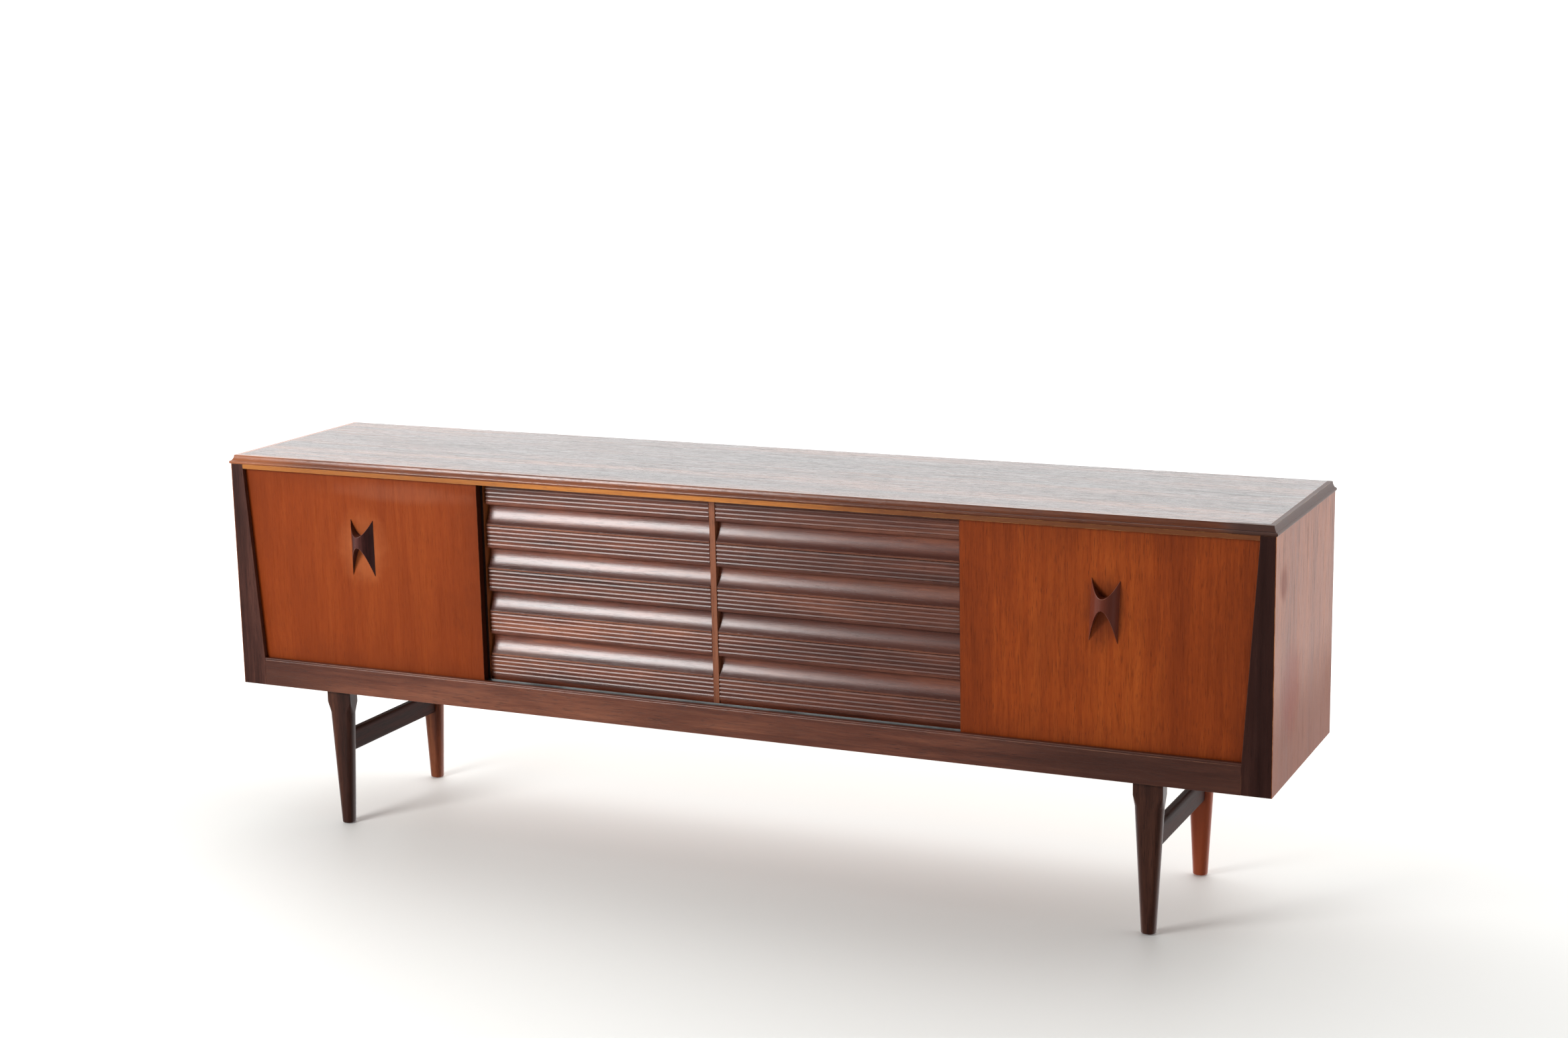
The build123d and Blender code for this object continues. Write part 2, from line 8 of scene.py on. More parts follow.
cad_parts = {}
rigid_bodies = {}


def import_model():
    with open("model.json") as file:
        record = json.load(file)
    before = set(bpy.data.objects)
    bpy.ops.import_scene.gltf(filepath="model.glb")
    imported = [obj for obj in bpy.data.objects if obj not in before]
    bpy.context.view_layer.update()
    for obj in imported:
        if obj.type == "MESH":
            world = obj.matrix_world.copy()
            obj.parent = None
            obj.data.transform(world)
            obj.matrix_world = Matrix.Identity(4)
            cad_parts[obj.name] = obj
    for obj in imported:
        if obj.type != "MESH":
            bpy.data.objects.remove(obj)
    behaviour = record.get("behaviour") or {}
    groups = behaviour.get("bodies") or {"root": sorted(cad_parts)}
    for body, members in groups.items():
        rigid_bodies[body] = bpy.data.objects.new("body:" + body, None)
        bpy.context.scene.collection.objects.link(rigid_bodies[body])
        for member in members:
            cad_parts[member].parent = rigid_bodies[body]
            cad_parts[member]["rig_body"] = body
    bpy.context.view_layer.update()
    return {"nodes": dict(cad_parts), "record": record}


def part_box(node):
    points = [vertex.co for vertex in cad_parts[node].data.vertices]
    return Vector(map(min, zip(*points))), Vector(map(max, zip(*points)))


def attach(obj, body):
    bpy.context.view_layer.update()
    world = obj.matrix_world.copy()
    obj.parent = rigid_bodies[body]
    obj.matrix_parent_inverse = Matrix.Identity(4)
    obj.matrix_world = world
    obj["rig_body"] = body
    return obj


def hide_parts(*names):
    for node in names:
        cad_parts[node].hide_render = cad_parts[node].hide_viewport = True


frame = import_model()

WHITE = (1.0, 1.0, 1.0, 1.0)
FULL_SIZE = (1.0, 1.0, 1.0)


# ---------------------------------------------------------------- colours

def channel(value):
    """One 0-255 screen value as linear light, by the sRGB formula."""
    value = value / 255
    return value / 12.92 if value <= 0.04045 else ((value + 0.055) / 1.055) ** 2.4


def tone(red, green, blue):
    """A colour given as it looks on a screen, as the linear colour that a shader takes."""
    return (channel(red), channel(green), channel(blue), 1.0)


# ---------------------------------------------------------------- shader helper

class Shader:
    """A material and the few node moves that every finish here needs."""

    def __init__(self, name):
        self.material = bpy.data.materials.new(name)
        self.material.use_nodes = True
        self.tree = self.material.node_tree
        self.tree.nodes.clear()
        self.out = self.tree.nodes.new("ShaderNodeOutputMaterial")
        self.bsdf = self.tree.nodes.new("ShaderNodeBsdfPrincipled")
        self.tree.links.new(self.bsdf.outputs[0], self.out.inputs[0])
        self.place = self.tree.nodes.new("ShaderNodeTexCoord").outputs["Object"]

    def put(self, socket, value):
        """Link a socket to another one, or set it to a constant."""
        if isinstance(value, bpy.types.NodeSocket):
            self.tree.links.new(value, socket)
        else:
            socket.default_value = value

    def set(self, **sockets):
        """Constants and links for the Principled shader, with _ for a space in the name."""
        for name, value in sockets.items():
            self.put(self.bsdf.inputs[name.replace("_", " ")], value)

    def math(self, kind, first, second=0.0):
        """Arithmetic on two values, of which some kinds use the first only."""
        node = self.tree.nodes.new("ShaderNodeMath")
        node.operation = kind
        self.put(node.inputs[0], first)
        self.put(node.inputs[1], second)
        return node.outputs[0]

    def times(self, first, second):
        return self.math("MULTIPLY", first, second)

    def plus(self, first, second):
        return self.math("ADD", first, second)

    def minus(self, first, second):
        return self.math("SUBTRACT", first, second)

    def vector(self, kind, first, second=FULL_SIZE):
        """The same for vectors; a length takes the first one only and gives a number."""
        node = self.tree.nodes.new("ShaderNodeVectorMath")
        node.operation = kind
        self.put(node.inputs[0], first)
        self.put(node.inputs[1], second)
        return node.outputs["Value" if kind == "LENGTH" else "Vector"]

    def mix(self, factor, first, second):
        """The first colour at factor 0 and the second at factor 1."""
        node = self.tree.nodes.new("ShaderNodeMix")
        node.data_type = "RGBA"
        colours = [socket for socket in node.inputs if socket.type == "RGBA"]
        self.put(node.inputs[0], factor)
        self.put(colours[0], first)
        self.put(colours[1], second)
        return next(socket for socket in node.outputs if socket.type == "RGBA")

    def ramp(self, factor, *stops):
        """Colours that run into each other, given as pairs of a position and a colour."""
        node = self.tree.nodes.new("ShaderNodeValToRGB")
        while len(node.color_ramp.elements) < len(stops):
            node.color_ramp.elements.new(0.5)
        for element, (position, colour) in zip(node.color_ramp.elements, stops):
            element.position = position
            element.color = colour
        self.put(node.inputs[0], factor)
        return node.outputs[0]

    def step(self, value, low, high):
        """Zero at low and beyond it, one at high and beyond it, smooth between them."""
        node = self.tree.nodes.new("ShaderNodeMapRange")
        node.interpolation_type = "SMOOTHSTEP"
        self.put(node.inputs[0], value)
        node.inputs[1].default_value = low
        node.inputs[2].default_value = high
        return node.outputs[0]

    def mapped(self, scale, shift=(0.0, 0.0, 0.0), source=None):
        """The piece's own coordinates, or another source, scaled and moved."""
        node = self.tree.nodes.new("ShaderNodeMapping")
        node.inputs["Scale"].default_value = scale
        node.inputs["Location"].default_value = shift
        self.put(node.inputs[0], source or self.place)
        return node.outputs[0]

    def noise(self, vector, scale, detail=3.0, rough=0.55, distortion=0.0):
        node = self.tree.nodes.new("ShaderNodeTexNoise")
        self.put(node.inputs["Vector"], vector)
        node.inputs["Scale"].default_value = scale
        node.inputs["Detail"].default_value = detail
        node.inputs["Roughness"].default_value = rough
        node.inputs["Distortion"].default_value = distortion
        return node.outputs[0]

    def axis(self, index):
        """One of the piece's own coordinates: 0, 1 or 2 for X, Y or Z."""
        node = self.tree.nodes.new("ShaderNodeSeparateXYZ")
        self.put(node.inputs[0], self.place)
        return node.outputs[index]

    def attribute(self, name):
        """A value that is stored on the faces of the mesh."""
        node = self.tree.nodes.new("ShaderNodeAttribute")
        node.attribute_name = name
        return node.outputs["Fac"]

    def bump(self, height, strength, distance):
        node = self.tree.nodes.new("ShaderNodeBump")
        node.inputs["Strength"].default_value = strength
        node.inputs["Distance"].default_value = distance
        self.put(node.inputs["Height"], height)
        return node.outputs[0]


# ---------------------------------------------------------------- wood and metal

# A SCALE is in noise cells per metre, and a RANGE is the pair of noise values between which a
# mark fades in. WOOD_RELIEF and METAL_RELIEF are depths in metres. FIBRE_RELIEF is the depth of
# the fibres next to that of the streaks.
EDGE = "edge"
GRAIN_STRETCH = 0.05
GRAIN_WAVER = 0.02
WAVER_SCALE = 1.7
FIGURE_SHARE = 0.5
STREAK_SHARE = 0.34
FIBRE_SHARE = 0.16
PORE_FINENESS = 1.7
PORE_SOFTNESS = 0.1
PORE_SHADE = 0.35
CLOUD_STRETCH = 0.3
CLOUD_SCALE = 7.0
CLOUD_RANGE = (0.42, 0.66)
DASH_RANGE = (0.55, 0.68)
WEAR_SCALE = 26.0
WEAR_RANGE = (0.40, 0.62)
WEAR_SHIFT = (3.1, 1.7, 0.4)
FIBRE_RELIEF = 0.6
WOOD_RELIEF = 0.0004
HAIR_SCALE = 900.0
HAIR_STRENGTH = 0.2
METAL_RELIEF = 0.0002
DULL_SCALE = 14.0
DULL_RANGE = (0.45, 0.75)
DULL_SHADE = 0.55
DULL_ROUGHENS = 0.18


def along(grain, factor):
    """Scale that squeezes the coordinates along the grain, so noise is drawn out that way."""
    scale = list(FULL_SIZE)
    scale["xyz".index(grain)] = factor
    return scale


def darkened(colour, factor):
    """The same colour with less light."""
    return tuple(factor * value for value in colour[:3]) + (1.0,)


def grain_space(s, grain):
    """Coordinates squeezed along the grain, with a slow waver so the lines aren't ruled."""
    waver = s.noise(s.mapped(FULL_SIZE), WAVER_SCALE, detail=2.0)
    push = s.times(s.minus(waver, 0.5), GRAIN_WAVER)
    return s.mapped(along(grain, GRAIN_STRETCH), source=s.vector("ADD", s.place, push))


def clouded(s, colour, dark, grain, strength):
    """Patches of darker tone, a few times longer along the grain than across it."""
    place = s.mapped(along(grain, CLOUD_STRETCH))
    patch = s.noise(place, CLOUD_SCALE, detail=5.0, rough=0.65, distortion=0.4)
    return s.mix(s.times(s.step(patch, *CLOUD_RANGE), strength), colour, dark)


def worn(s, colour, wear, strength):
    """Eased edges are rubbed to another tone, here more and there less."""
    rub = s.noise(s.mapped(FULL_SIZE, WEAR_SHIFT), WEAR_SCALE, detail=4.0, rough=0.65)
    rub = s.times(s.attribute(EDGE), s.step(rub, *WEAR_RANGE))
    return s.mix(s.times(rub, strength), colour, wear)


def wood(name, dark, mid, light, grain="x", figure=11.0, streak=85.0, fibre=520.0, spread=0.16,
         rough=0.4, rough_swing=0.12, coat=0.0, coat_rough=0.2, specular=0.5, bump=0.25,
         wear=None, wear_amount=0.7, stains=(), pore_depth=0.45, pore_low=0.60, cloud=0.0,
         dashes=0.0, dash_scale=190.0):
    """Open-pored cabinet wood: slow figure, streaks, fibres and pores, and rubbed edges."""
    s = Shader(name)
    lines = grain_space(s, grain)
    slow = s.noise(lines, figure, detail=3.0, rough=0.5, distortion=0.5)
    band = s.noise(lines, streak, detail=5.0, rough=0.62, distortion=0.2)
    fine = s.noise(lines, fibre, detail=2.0, rough=0.6)
    mixed = s.plus(s.times(slow, FIGURE_SHARE), s.times(band, STREAK_SHARE))
    mixed = s.plus(mixed, s.times(fine, FIBRE_SHARE))
    colour = s.ramp(mixed, (0.5 - spread, dark), (0.5, mid), (0.5 + spread, light))
    pore = s.noise(lines, fibre * PORE_FINENESS, detail=1.0, rough=0.4)
    pore = s.step(pore, pore_low, pore_low + PORE_SOFTNESS)
    shade = darkened(dark, PORE_SHADE)
    colour = s.mix(s.times(pore, pore_depth), colour, shade)
    if cloud:
        colour = clouded(s, colour, dark, grain, cloud)
    sheen = specular
    if dashes:
        dash = s.noise(lines, dash_scale, detail=2.0, rough=0.5, distortion=0.1)
        dash = s.times(s.step(dash, *DASH_RANGE), dashes)
        colour = s.mix(dash, colour, shade)
        sheen = s.times(s.minus(1.0, dash), specular)
    gloss = s.plus(rough - rough_swing / 2, s.times(band, rough_swing))
    for stain in stains:
        colour, gloss = stain(s, colour, gloss)
    if wear:
        colour = worn(s, colour, wear, wear_amount)
    height = s.minus(s.plus(band, s.times(fine, FIBRE_RELIEF)), pore)
    s.set(Base_Color=colour, Roughness=gloss, Normal=s.bump(height, bump, WOOD_RELIEF))
    s.set(Specular_IOR_Level=sheen, Coat_Weight=coat, Coat_Roughness=coat_rough)
    return s.material


def metal(name, colour, rough):
    """Drawn or turned metal with fine lines along its length and slightly dulled patches."""
    s = Shader(name)
    hair = s.noise(grain_space(s, "x"), HAIR_SCALE, detail=3.0, rough=0.6)
    dull = s.noise(s.mapped(FULL_SIZE), DULL_SCALE, detail=4.0, rough=0.6)
    shade = s.mix(s.step(dull, *DULL_RANGE), colour, darkened(colour, DULL_SHADE))
    gloss = s.plus(rough, s.times(dull, DULL_ROUGHENS))
    relief = s.bump(hair, HAIR_STRENGTH, METAL_RELIEF)
    s.set(Base_Color=shade, Metallic=1.0, Roughness=gloss, Normal=relief)
    return s.material


# ---------------------------------------------------------------- stains

# Each stain takes the shader, its colour and its roughness, and returns both changed.

PATCH_RANGE = (0.55, 1.25)
PATCH_DULLS = 0.12
FADE_DULLS = 0.2

# How far in from an edge its painted shade is full, and where it is gone, in metres.
PARTITION_EDGE = (0.0008, 0.002)
DOOR_EDGE = (0.0004, 0.0014)

# Shares of the way from a door's middle to its border, with the ragged offset added.
BORDER_RANGE = (0.95, 1.5)
BORDER_STRENGTH = 0.32

# Heights on a drawer front, as a share of the pitch from one front's top to the next, for the
# strip's end, the cove's painted shade and the lip.
STRIP_ENDS = (0.47, 0.50)
COVE_SHADE_STARTS = (0.78, 0.91)
LIP_STARTS = (0.945, 0.96)
LIP_ENDS = (0.982, 0.988)
STRIP_DULLS = 0.14
COVE_SHADE_STRENGTH = 0.75
LIP_STRENGTH = 0.5


def ragged(s, scale, detail, rough, amount):
    """Uneven offset that keeps the border of a stain from being a clean line."""
    return s.times(s.noise(s.mapped(FULL_SIZE), scale, detail, rough), amount)


def smudge_and_glare(centre, radius, colour, strength):
    """A soft patch of another tone round a point, with one radius for each axis, for real marks and
    for a painted glare.
    """

    def add(s, base, gloss):
        offset = s.vector("DIVIDE", s.vector("SUBTRACT", s.place, centre), radius)
        border = ragged(s, 30.0, detail=3.0, rough=0.55, amount=0.5)
        reach = s.plus(s.vector("LENGTH", offset), border)
        mask = s.times(s.minus(1.0, s.step(reach, *PATCH_RANGE)), strength)
        return s.mix(mask, base, colour), s.plus(gloss, s.times(mask, PATCH_DULLS))

    return add


def fade_right(start, width, colour, strength, dull=0.0):
    """The tone changes along the length, to the right of x = start."""

    def add(s, base, gloss):
        border = ragged(s, 6.0, detail=4.0, rough=0.7, amount=width)
        mask = s.step(s.plus(s.axis(0), border), start, start + width)
        mask = s.times(mask, strength)
        return s.mix(mask, base, colour), s.plus(gloss, s.times(mask, dull))

    return add


def fade_left(start, width, colour, strength):
    """The tone changes along the length, to the left of x = start."""

    def add(s, base, gloss):
        mask = s.step(s.axis(0), start, start - width)
        return s.mix(s.times(mask, strength), base, colour), gloss

    return add


def fade_down(end, width, colour, strength):
    """The tone changes and the gloss drops down the height, fully so below z = end."""

    def add(s, base, gloss):
        border = ragged(s, 8.0, detail=4.0, rough=0.7, amount=0.4 * width)
        mask = s.step(s.plus(s.axis(2), border), end + width, end)
        mask = s.times(mask, strength)
        return s.mix(mask, base, colour), s.plus(gloss, s.times(mask, FADE_DULLS))

    return add


def partition_edge_shade(s, base, gloss):
    """Painted shade on the front edge of a partition, in the dark gap beside the drawer fronts."""
    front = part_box("left_partition")[0].y
    full_to, gone_by = PARTITION_EDGE
    mask = s.minus(1.0, s.step(s.axis(1), front + full_to, front + gone_by))
    return s.mix(mask, base, tone(42, 18, 10)), gloss


def door_edge_shade(s, base, gloss):
    """Painted shade on the inner upright edge of each door, in the dark gap beside the drawers."""
    from_middle = s.math("ABSOLUTE", s.axis(0))
    inner = -door_high.x
    full_to, gone_by = DOOR_EDGE
    mask = s.minus(1.0, s.step(from_middle, inner + full_to, inner + gone_by))
    return s.mix(mask, base, tone(62, 26, 13)), gloss


def door_border_shade(s, base, gloss):
    """Painted shade: each door is darker towards its borders, where the case round it shades it."""
    middle = (door_low + door_high) / 2
    half_size = (door_high - door_low) / 2
    across = s.math("ABSOLUTE", s.minus(s.math("ABSOLUTE", s.axis(0)), -middle.x))
    down = s.math("ABSOLUTE", s.minus(s.axis(2), middle.z))
    reach = s.math("MAXIMUM", s.math("DIVIDE", across, half_size.x),
                   s.math("DIVIDE", down, half_size.z))
    border = ragged(s, 9.0, detail=5.0, rough=0.65, amount=0.7)
    mask = s.times(s.step(s.plus(reach, border), *BORDER_RANGE), BORDER_STRENGTH)
    return s.mix(mask, base, tone(84, 32, 8)), gloss


def cove_painted_shade(s, base, gloss):
    """A drawer front has a duller strip, painted shade low in its cove where the strip above shades
    it, and a lighter lip.
    """
    pitch = drawer_high.z - next_drawer_high.z
    down = s.math("FRACT", s.math("DIVIDE", s.minus(drawer_high.z, s.axis(2)), pitch))
    lip_start = s.step(down, *LIP_STARTS)
    cove_shade = s.minus(s.step(down, *COVE_SHADE_STARTS), lip_start)
    strip = s.minus(1.0, s.step(down, *STRIP_ENDS))
    lip = s.minus(lip_start, s.step(down, *LIP_ENDS))
    base = s.mix(s.times(lip, LIP_STRENGTH), base, tone(156, 102, 80))
    # Painted shade low in each cove.
    base = s.mix(s.times(cove_shade, COVE_SHADE_STRENGTH), base, tone(52, 16, 6))
    return base, s.plus(gloss, s.times(strip, STRIP_DULLS))


# ---------------------------------------------------------------- finishes

side_low, side_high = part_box("right_side_panel")
door_low, door_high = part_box("left_door")
left_pull_at = sum(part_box("left_door_handle"), Vector()) / 2
right_pull_at = sum(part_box("right_door_handle"), Vector()) / 2
drawer_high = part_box("left_drawer_1_front")[1]
next_drawer_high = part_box("left_drawer_2_front")[1]
scuff_at = (side_high.x, side_low.y + 0.055, side_high.z - 0.09)
red_zone_at = (side_high.x, side_low.y + 0.12, side_low.z + 0.16)
door_glare_at = (door_low.x + 0.36, door_low.y, door_high.z - 0.035)

finishes = {
    "top_veneer": wood(
        "top_rosewood", tone(30, 14, 10), tone(74, 40, 29), tone(130, 84, 62), grain="x",
        figure=14.0, streak=130.0, fibre=480.0, spread=0.12, rough=0.27, rough_swing=0.26,
        specular=0.62, bump=0.7, pore_low=0.56, pore_depth=0.8, dashes=0.6,
        wear=tone(150, 96, 70)),
    "moulding_wood": wood(
        "moulding_rosewood", tone(60, 28, 16), tone(104, 52, 26), tone(146, 80, 42), grain="x",
        figure=16.0, rough=0.30, coat=0.14, specular=0.46, wear=tone(214, 176, 132), stains=(
            fade_left(-0.8, 0.2, tone(160, 92, 52), 0.7),
            fade_right(0.1, 0.5, tone(74, 34, 16), 0.6),
            fade_right(0.97, 0.05, tone(58, 27, 15), 0.8, 0.5))),
    "side_veneer": wood(
        "side_teak", tone(108, 52, 27), tone(136, 72, 37), tone(158, 90, 50), grain="z",
        figure=9.0, rough=0.44, specular=0.24, bump=0.4, cloud=0.35, dashes=0.4,
        wear=tone(196, 130, 84), stains=(
            fade_down(side_low.z + 0.1, 0.16, tone(118, 62, 40), 0.7),
            smudge_and_glare(scuff_at, (0.05, 0.035, 0.04), tone(112, 46, 16), 0.75),
            smudge_and_glare(red_zone_at, (0.1, 0.09, 0.11), tone(128, 46, 30), 0.45))),
    "dark_lipping": wood(
        "stile_rosewood", tone(36, 16, 12), tone(64, 34, 27), tone(92, 54, 43), grain="z",
        figure=18.0, rough=0.36, specular=0.26, wear=tone(104, 64, 44), wear_amount=0.4, stains=(
            # Painted shade: the right stile is darker than the left one, which catches more
            # reflected light.
            fade_right(-0.2, 0.4, tone(42, 15, 10), 0.6),)),
    "rail_wood": wood(
        "rail_rosewood", tone(58, 26, 16), tone(98, 50, 33), tone(130, 75, 50), grain="x",
        figure=14.0, rough=0.38, cloud=0.35, wear=tone(150, 96, 64), wear_amount=0.5, stains=(
            fade_left(-0.75, 0.25, tone(62, 26, 14), 0.8),
            fade_right(0.62, 0.3, tone(56, 26, 17), 0.6))),
    "fascia_wood": wood(
        "fascia_teak", tone(138, 78, 26), tone(176, 106, 38), tone(204, 136, 58), grain="x",
        figure=12.0, rough=0.45, specular=0.3, wear=tone(216, 160, 96), wear_amount=0.5, stains=(
            fade_left(-0.3, 0.3, tone(132, 74, 24), 0.6),
            # Painted shade: the fascia is darker towards the right, where the light falls off.
            fade_right(0.25, 0.35, tone(92, 42, 14), 0.85))),
    "door_veneer": wood(
        "door_teak", tone(110, 42, 8), tone(142, 59, 12), tone(168, 80, 24), grain="z", figure=7.0,
        streak=90.0, fibre=620.0, spread=0.17, rough=0.46, specular=0.12, cloud=0.4,
        dashes=0.18, dash_scale=330.0, wear=tone(176, 96, 50), wear_amount=0.2, stains=(
            fade_left(-0.2, 0.1, tone(118, 46, 8), 0.6),
            door_border_shade,
            smudge_and_glare(left_pull_at, (0.07, 0.1, 0.09), tone(190, 112, 66), 0.3),
            # Darker round the right handle.
            smudge_and_glare(right_pull_at, (0.05, 0.1, 0.085), tone(74, 27, 9), 0.55),
            door_edge_shade,
            # Painted highlight: a faint pale glare near the top of the left door.
            smudge_and_glare(door_glare_at, (0.2, 0.1, 0.025), tone(196, 140, 116), 0.07))),
    "drawer_front_wood": wood(
        "drawer_rosewood", tone(48, 19, 11), tone(108, 53, 33), tone(152, 88, 58), grain="x",
        figure=18.0, spread=0.13, rough=0.28, coat=0.2, coat_rough=0.16, specular=0.4,
        cloud=0.5, bump=0.12, wear=tone(168, 112, 84), wear_amount=0.4, stains=(
            cove_painted_shade,
            fade_right(-0.1, 0.3, tone(74, 30, 17), 0.4))),
    "divider_wood": wood(
        "divider_teak", tone(96, 50, 30), tone(128, 74, 48), tone(156, 98, 68), grain="z",
        figure=12.0, rough=0.45, specular=0.3, wear=tone(176, 120, 84), wear_amount=0.5),
    "inside_veneer": wood(
        "inside_teak", tone(104, 50, 22), tone(142, 74, 34), tone(172, 100, 52), grain="x",
        figure=9.0, rough=0.5, wear=tone(190, 130, 80), wear_amount=0.5),
    "partition_wood": wood(
        "partition_teak", tone(104, 50, 22), tone(142, 74, 34), tone(172, 100, 52), grain="z",
        figure=9.0, rough=0.5, wear=tone(110, 66, 40), wear_amount=0.3, stains=(partition_edge_shade,)),
    "drawer_box_wood": wood(
        "drawer_box_beech", tone(176, 138, 94), tone(204, 168, 120), tone(222, 192, 148), grain="y",
        figure=14.0, rough=0.52, wear=tone(228, 200, 158), pore_depth=0.2),
    "back_board": wood(
        "back_board_birch", tone(150, 110, 70), tone(176, 134, 88), tone(196, 158, 112), grain="x",
        figure=7.0, rough=0.6, pore_depth=0.2),
    "handle_wood": wood(
        "handle_rosewood", tone(26, 11, 10), tone(58, 27, 25), tone(88, 46, 40), grain="z",
        figure=24.0, rough=0.32, coat=0.2, specular=0.3, wear=tone(170, 120, 104), stains=(
            fade_right(0.0, 0.3, tone(112, 50, 32), 0.75),)),
    "leg_wood": wood(
        "leg_rosewood", tone(30, 13, 8), tone(58, 29, 20), tone(88, 50, 34), grain="z",
        figure=20.0, rough=0.42, specular=0.28, wear=tone(128, 84, 56), wear_amount=0.5),
    "stretcher_wood": wood(
        "stretcher_rosewood", tone(26, 12, 9), tone(46, 23, 18), tone(68, 36, 28), grain="y",
        figure=20.0, rough=0.62, specular=0.1, wear=tone(96, 58, 42), wear_amount=0.4),
    "back_leg_wood": wood(
        "leg_teak", tone(74, 32, 15), tone(112, 54, 26), tone(142, 78, 42), grain="z",
        figure=20.0, rough=0.44, specular=0.36, wear=tone(150, 96, 60), wear_amount=0.5, stains=(
            fade_right(0.0, 0.3, tone(158, 66, 24), 0.6),)),
    "track_metal": metal("track_aluminium", tone(128, 130, 130), rough=0.45),
    "steel": metal("bolt_steel", tone(150, 148, 144), rough=0.32),
    "brass": metal("pin_brass", tone(196, 156, 86), rough=0.30),
}


# ---------------------------------------------------------------- rounded pieces

# Faces that meet within FLAT are joined, outer edges sharper than HARD are eased, and smooth
# shading stops at edges sharper than CREASE.
FLAT = math.radians(0.1)
HARD = math.radians(28)
CREASE = math.radians(40)
WELD = 0.00001
EASE_SEGMENTS = 2
FACE_WEIGHT = 100

# How far back each kind of outer edge is eased, in metres.
USUAL_EASE = 0.0005
FRONT_EASE = 0.00022
EASE = {
    "top_panel": 0.0004, "top_edge_moulding": 0.0003, "left_front_stile": 0.0008,
    "right_front_stile": 0.0008, "bottom_front_rail": 0.0006, "left_apron": FRONT_EASE,
    "right_apron": FRONT_EASE, "left_door_handle": 0.0007, "right_door_handle": 0.0007,
    "lower_door_track": 0.00015, "upper_door_track": 0.00015, "back_panel_screws": 0.0002,
    "leg_bolts": 0.0003, "shelf_pins": 0.0004,
}

# Pieces that share a record slot with others but have a finish of their own.
FINISH_OF = {
    "left_back_leg": "back_leg_wood", "right_back_leg": "back_leg_wood",
    "left_stretcher": "stretcher_wood", "right_stretcher": "stretcher_wood",
    "left_partition": "partition_wood", "right_partition": "partition_wood",
}


def rounded(node, width):
    """A finished piece in a CAD node's place: welded, with its hard outer edges eased."""
    source = frame["nodes"][node]
    form = bmesh.new()
    form.from_mesh(source.data)
    layer = form.faces.layers.float.new(EDGE)
    bmesh.ops.remove_doubles(form, verts=form.verts, dist=WELD)
    bmesh.ops.dissolve_limit(form, angle_limit=FLAT, verts=form.verts, edges=form.edges)
    hard = [edge for edge in form.edges if len(edge.link_faces) == 2
            and edge.calc_face_angle_signed(0.0) > HARD]
    eased = bmesh.ops.bevel(form, geom=hard, offset=width, offset_type="OFFSET",
                            segments=EASE_SEGMENTS, profile=0.5, affect="EDGES",
                            clamp_overlap=True)
    for face in eased["faces"]:
        face[layer] = 1.0
    for face in form.faces:
        face.smooth = True
        face.material_index = 0
    mesh = bpy.data.meshes.new(node + "_finish")
    form.to_mesh(mesh)
    form.free()
    mesh.set_sharp_from_angle(angle=CREASE)
    piece = bpy.data.objects.new(node + "_finish", mesh)
    bpy.context.scene.collection.objects.link(piece)
    even = piece.modifiers.new("even", "WEIGHTED_NORMAL")
    even.keep_sharp = True
    even.weight = FACE_WEIGHT
    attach(piece, source["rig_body"])
    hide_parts(node)
    return piece


def ease_of(node):
    """Drawer fronts have the finest edges, because of their ridges."""
    if node.endswith("_front"):
        return FRONT_EASE
    return EASE.get(node, USUAL_EASE)


for part in frame["record"]["subparts"]:
    node = part["node"]
    piece = rounded(node, ease_of(node))
    piece.data.materials.clear()
    piece.data.materials.append(finishes[FINISH_OF.get(node, part["material_slot"])])


# ---------------------------------------------------------------- floor

FLOOR_SIZE = 30.0
FLOOR_NEAR = tone(218, 218, 215)
FLOOR_FAR = tone(246, 246, 244)
NEAR_SCALE = (0.55, 1.0, 1.0)
NEAR_SHIFT = (0.0, 0.9, 0.0)
NEAR_RANGE = (0.9, 2.6)
FAR_GLOW = 0.34


def floor_finish():
    """Pale floor that brightens to plain white away from the object, with painted light: it glows
    more the further it is from the object.
    """
    s = Shader("studio_floor")
    away = s.step(s.vector("LENGTH", s.mapped(NEAR_SCALE, NEAR_SHIFT)), *NEAR_RANGE)
    s.set(Base_Color=s.mix(away, FLOOR_NEAR, FLOOR_FAR), Roughness=0.6)
    s.set(Emission_Color=WHITE, Emission_Strength=s.times(away, FAR_GLOW))
    return s.material


half = FLOOR_SIZE / 2
floor_mesh = bpy.data.meshes.new("floor")
floor_mesh.from_pydata(
    [(-half, -half, 0), (half, -half, 0), (half, half, 0), (-half, half, 0)], [], [(0, 1, 2, 3)])
floor = bpy.data.objects.new("floor", floor_mesh)
floor.data.materials.append(floor_finish())
bpy.context.scene.collection.objects.link(floor)
floor.visible_glossy = False


# ---------------------------------------------------------------- studio world

# Each row: the axis of the direction looked in, where the change starts and ends on it, and
# the level before and after.
ROOM = ("X", -0.62, -0.22, 0.75, 0.10)
FRONT_HALF = ("Y", -0.3, 0.4, 1.0, 0.0)
BACK_WALL = ("Y", -0.3, 0.4, 0.0, 2.05)
OVERHEAD = ("Z", 0.45, 1.0, 0.0, 0.2)
BELOW_CEILING = ("Z", 0.5, 0.7, 1.0, 0.25)
ABOVE_FLOOR = ("Z", -0.25, 0.12, 0.4, 1.0)
BACKDROP_LEVEL = 1.6

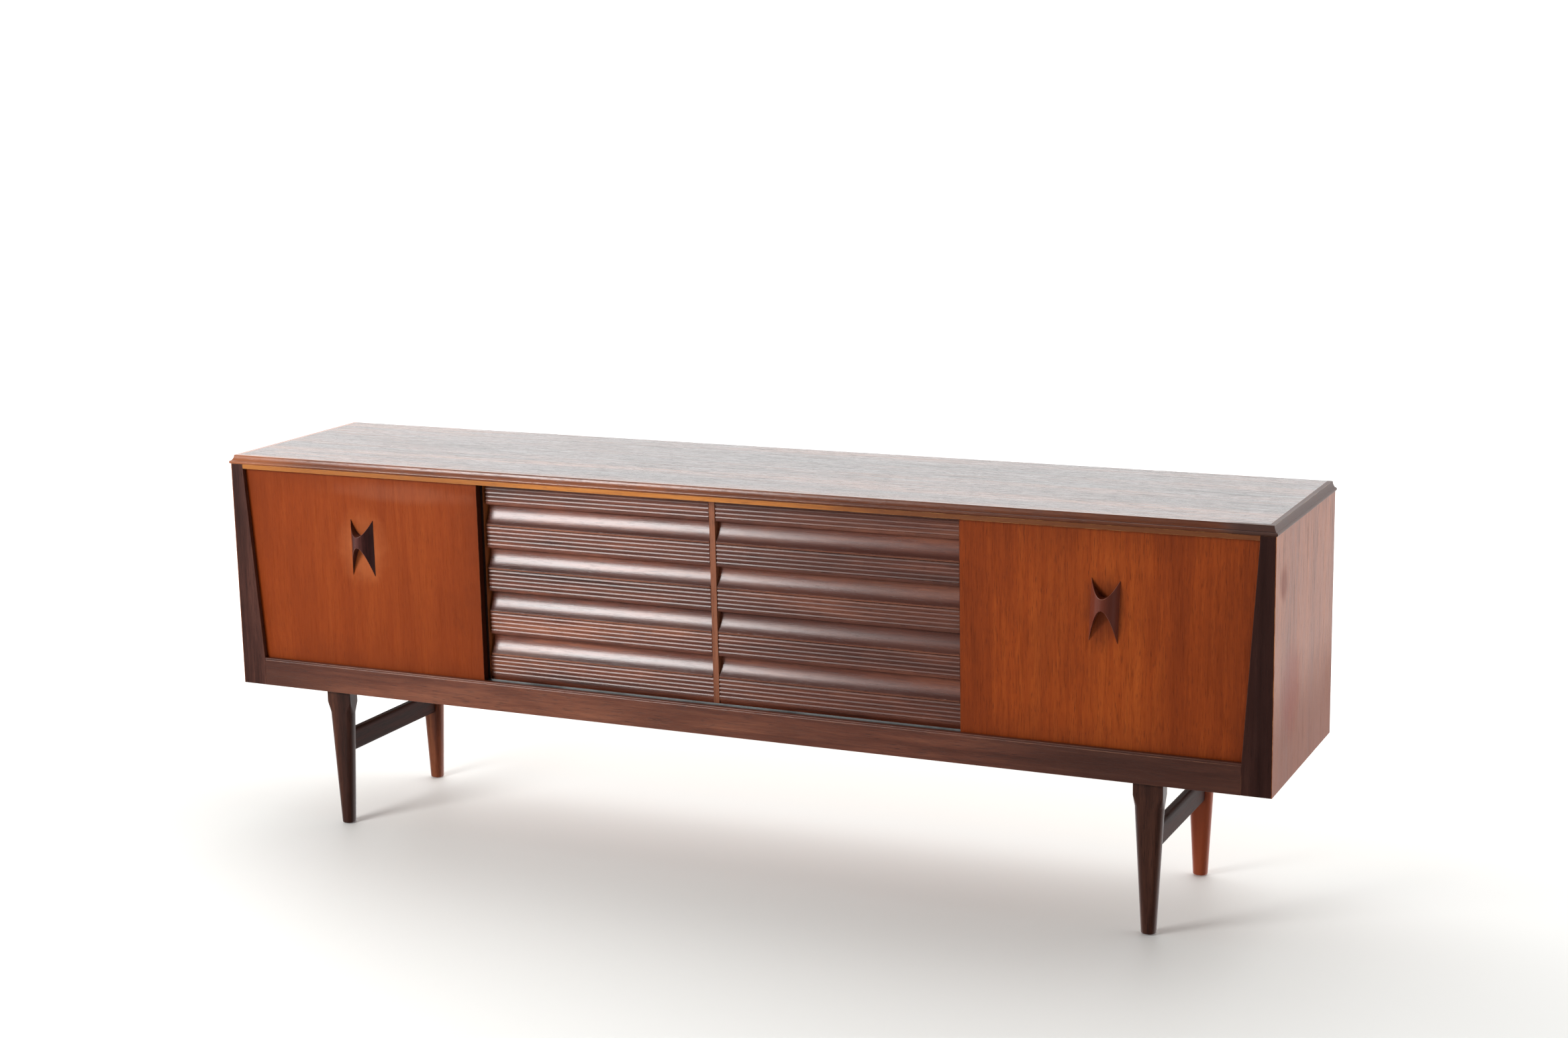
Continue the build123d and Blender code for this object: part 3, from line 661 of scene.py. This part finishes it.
world = bpy.data.worlds.new("studio")
world.use_nodes = True
bpy.context.scene.world = world
sky = world.node_tree
background = sky.nodes["Background"]
background.inputs["Color"].default_value = WHITE
direction = sky.nodes.new("ShaderNodeSeparateXYZ")
sky.links.new(sky.nodes.new("ShaderNodeTexCoord").outputs["Generated"], direction.inputs[0])


def sky_ramp(axis, *levels):
    """A smooth change of light level along one axis of the direction looked in."""
    node = sky.nodes.new("ShaderNodeMapRange")
    node.interpolation_type = "SMOOTHSTEP"
    sky.links.new(direction.outputs[axis], node.inputs[0])
    for index, value in enumerate(levels, 1):
        node.inputs[index].default_value = value
    return node.outputs[0]


def sky_math(kind, first, second):
    node = sky.nodes.new("ShaderNodeMath")
    node.operation = kind
    sky.links.new(first, node.inputs[0])
    sky.links.new(second, node.inputs[1])
    return node.outputs[0]


room = sky_math("MULTIPLY", sky_ramp(*ROOM), sky_ramp(*FRONT_HALF))
by_height = sky_math("MULTIPLY", sky_ramp(*BELOW_CEILING), sky_ramp(*ABOVE_FLOOR))
around = sky_math("ADD", sky_ramp(*BACK_WALL), sky_ramp(*OVERHEAD))
light_level = sky_math("ADD", sky_math("MULTIPLY", room, by_height), around)

# What is seen past the object is plain white, whatever the light from there is.
seen = sky.nodes.new("ShaderNodeLightPath").outputs["Is Camera Ray"]
shown = sky.nodes.new("ShaderNodeMix")
sky.links.new(seen, shown.inputs["Factor"])
sky.links.new(light_level, shown.inputs["A"])
shown.inputs["B"].default_value = BACKDROP_LEVEL
sky.links.new(shown.outputs["Result"], background.inputs["Strength"])


# ---------------------------------------------------------------- light and camera

KEY_AT = Vector((-1.85, -2.7, 1.72))
KEY_AIM = Vector((0.0, -0.2, 0.55))
KEY_WIDTH = 1.15
KEY_HEIGHT = 1.05
KEY_WATTS = 92.0

key = bpy.data.lights.new("key", "AREA")
key.shape = "RECTANGLE"
key.size = KEY_WIDTH
key.size_y = KEY_HEIGHT
key.energy = KEY_WATTS
lamp = bpy.data.objects.new("key", key)
bpy.context.scene.collection.objects.link(lamp)
lamp.location = KEY_AT
lamp.rotation_euler = (KEY_AIM - KEY_AT).to_track_quat("-Z", "Y").to_euler()

# The lens and the sensor are in millimetres, and the place is in metres.
LENS = 57.95
SENSOR = 36.0
CAMERA_AT = (2.0396, -4.20195, 1.5964)
CAMERA_RIGHT = (0.90648, 0.42175, -0.0204)
CAMERA_FORWARD = (-0.417, 0.8866, -0.2001)

camera_data = bpy.data.cameras.new("camera")
camera_data.lens = LENS
camera_data.sensor_width = SENSOR
camera_data.sensor_fit = "HORIZONTAL"
camera = bpy.data.objects.new("camera", camera_data)
bpy.context.scene.collection.objects.link(camera)
right = Vector(CAMERA_RIGHT).normalized()
forward = Vector(CAMERA_FORWARD).normalized()
up = right.cross(forward).normalized()
turn = Matrix((right, up, -forward)).transposed().to_4x4()
camera.matrix_world = Matrix.Translation(CAMERA_AT) @ turn
bpy.context.scene.camera = camera
bpy.context.scene.view_settings.view_transform = "Standard"
